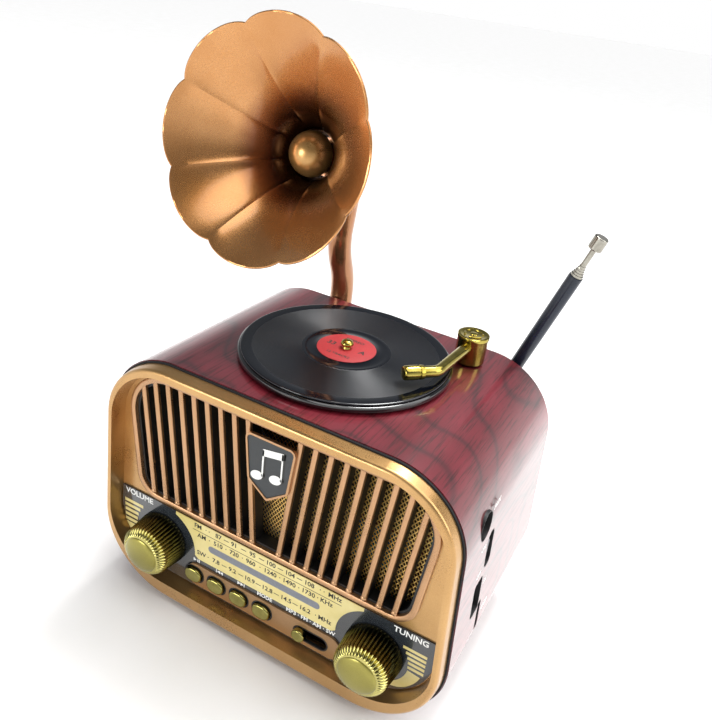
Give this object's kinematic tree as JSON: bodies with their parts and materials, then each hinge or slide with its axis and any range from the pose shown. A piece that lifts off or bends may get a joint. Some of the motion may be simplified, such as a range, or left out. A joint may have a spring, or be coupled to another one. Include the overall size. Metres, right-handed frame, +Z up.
{
  "type": "retro gramophone radio speaker",
  "caption": "Small table radio speaker shaped like a gramophone: wood-look cabinet, copper grille, turning record, tonearm, scalloped horn and telescopic aerial.",
  "frame": {"origin": "centre of the four rubber feet on the plane they stand on", "axes": "+Z up, -Y towards the front with the grille and knobs, +X towards the side with the sockets"},
  "size_m": [0.1488, 0.118, 0.2208],
  "materials": {
    "wood_foil": "printed mahogany foil, glossy",
    "copper_paint": "metallic copper paint, satin",
    "gold_plating": "bright antique gold plating",
    "gloss_black": "glossy black",
    "black_plastic": "fine texture",
    "black_rubber": "matte",
    "gold_mesh": "woven",
    "grey_print": "dark grey print under gloss",
    "cream_print": "cream print",
    "red_print": "red paper print",
    "grey_plastic": "moulded",
    "clear_housing": "moulded",
    "steel": "zinc plated",
    "chrome": "polished",
    "circuit_board": "solder mask",
    "black_paper": "pressed paper",
    "ferrite": "sintered",
    "cell_wrap": "shrink wrap"
  },
  "bodies": {
    "cabinet": {"aerial_mount": "black_plastic", "badge_frame": "copper_paint", "badge_plate": "grey_print", "band_switch": "steel", "battery_cell": "cell_wrap", "battery_cradle": "black_plastic", "cabinet_shell": "wood_foil", "card_slot": "steel", "dial_plate": "grey_print", "dial_scale": "cream_print", "feet": "black_rubber", "front_bezel": "copper_paint", "front_seal": "black_rubber", "grille_bars": "copper_paint", "grille_ribs": "black_plastic", "horn_socket": "black_plastic", "jack_socket": "black_plastic", "key_panel": "copper_paint", "key_switches": "black_plastic", "main_board": "circuit_board", "power_switch": "black_plastic", "rear_cover": "black_plastic", "rear_screws": "steel", "side_board": "circuit_board", "speaker_basket": "steel", "speaker_cone": "black_paper", "speaker_magnet": "ferrite", "speaker_mesh": "gold_mesh", "tonearm_bush": "black_plastic", "tuning_capacitor": "clear_housing", "turntable_motor": "steel", "usb_socket": "steel", "volume_control": "steel"},
    "tuning": {"tuning_knob": "gold_plating", "tuning_shaft": "steel"},
    "play": {"play_key": "gold_plating"},
    "previous": {"previous_key": "gold_plating"},
    "next": {"next_key": "gold_plating"},
    "mode": {"mode_key": "gold_plating"},
    "band": {"band_slider": "gold_plating"},
    "power": {"power_slider": "grey_plastic"},
    "turntable": {"turntable_spindle": "steel", "platter": "gloss_black", "record": "gloss_black", "record_label": "red_print", "spindle_cap": "gold_plating"},
    "tonearm": {"tonearm_post": "gold_plating", "tonearm_tube": "gold_plating", "tonearm_head": "gold_plating"},
    "horn": {"horn_bell": "copper_paint", "throat_dome": "copper_paint", "horn_neck": "copper_paint"},
    "aerial_base": {"aerial_knuckle": "black_plastic", "aerial_pin": "steel"},
    "aerial_arm": {"aerial_sleeve": "gloss_black"},
    "aerial_middle": {"aerial_stage": "chrome"},
    "aerial_end": {"aerial_rod": "chrome", "aerial_tip": "chrome"},
    "volume": {"volume_knob": "gold_plating", "volume_shaft": "steel"}
  },
  "joints": [
    {"name": "volume_turn", "type": "hinge", "parent": "cabinet", "child": "volume", "pos_m": [-0.0476, -0.05, 0.0283], "axis": [0, 1, 0], "range_deg": [-150, 150]},
    {"name": "tuning_turn", "type": "hinge", "parent": "cabinet", "child": "tuning", "pos_m": [0.0476, -0.05, 0.0283], "axis": [0, 1, 0], "range_deg": [-90, 90]},
    {"name": "play_press", "type": "slide", "parent": "cabinet", "child": "play", "axis": [0, 1, 0], "range_m": [0, 0.001], "stiffness_N_per_m": 600, "springref_m": -0.0005},
    {"name": "previous_press", "type": "slide", "parent": "cabinet", "child": "previous", "axis": [0, 1, 0], "range_m": [0, 0.001], "stiffness_N_per_m": 600, "springref_m": -0.0005},
    {"name": "next_press", "type": "slide", "parent": "cabinet", "child": "next", "axis": [0, 1, 0], "range_m": [0, 0.001], "stiffness_N_per_m": 600, "springref_m": -0.0005},
    {"name": "mode_press", "type": "slide", "parent": "cabinet", "child": "mode", "axis": [0, 1, 0], "range_m": [0, 0.001], "stiffness_N_per_m": 600, "springref_m": -0.0005},
    {"name": "band_slide", "type": "slide", "parent": "cabinet", "child": "band", "axis": [1, 0, 0], "range_m": [0, 0.0084]},
    {"name": "power_slide", "type": "slide", "parent": "cabinet", "child": "power", "axis": [0, 0, 1], "range_m": [0, 0.004]},
    {"name": "record_spin", "type": "hinge", "parent": "cabinet", "child": "turntable", "pos_m": [0, 0, 0.11], "axis": [0, 0, 1], "continuous": true},
    {"name": "tonearm_swing", "type": "hinge", "parent": "cabinet", "child": "tonearm", "pos_m": [0.0374, 0.0296, 0.112], "axis": [0, 0, 1], "range_deg": [-12, 30]},
    {"name": "horn_swivel", "type": "hinge", "parent": "cabinet", "child": "horn", "pos_m": [-0.0311, 0.0505, 0.09], "axis": [0, 0, 1], "range_deg": [-45, 45]},
    {"name": "aerial_swivel", "type": "hinge", "parent": "cabinet", "child": "aerial_base", "pos_m": [0.0431, 0.051, 0.078], "axis": [0, 1, 0], "range_deg": [-45, 72]},
    {"name": "aerial_fold", "type": "hinge", "parent": "aerial_base", "child": "aerial_arm", "pos_m": [0.0431, 0.051, 0.078], "axis": [-0.9532, 0, 0.3024], "range_deg": [0, 90]},
    {"name": "aerial_middle_pull", "type": "slide", "parent": "aerial_arm", "child": "aerial_middle", "axis": [0.3024, 0, 0.9532], "range_m": [0, 0.045]},
    {"name": "aerial_end_pull", "type": "slide", "parent": "aerial_middle", "child": "aerial_end", "axis": [0.3024, 0, 0.9532], "range_m": [0, 0.045]}
  ]
}
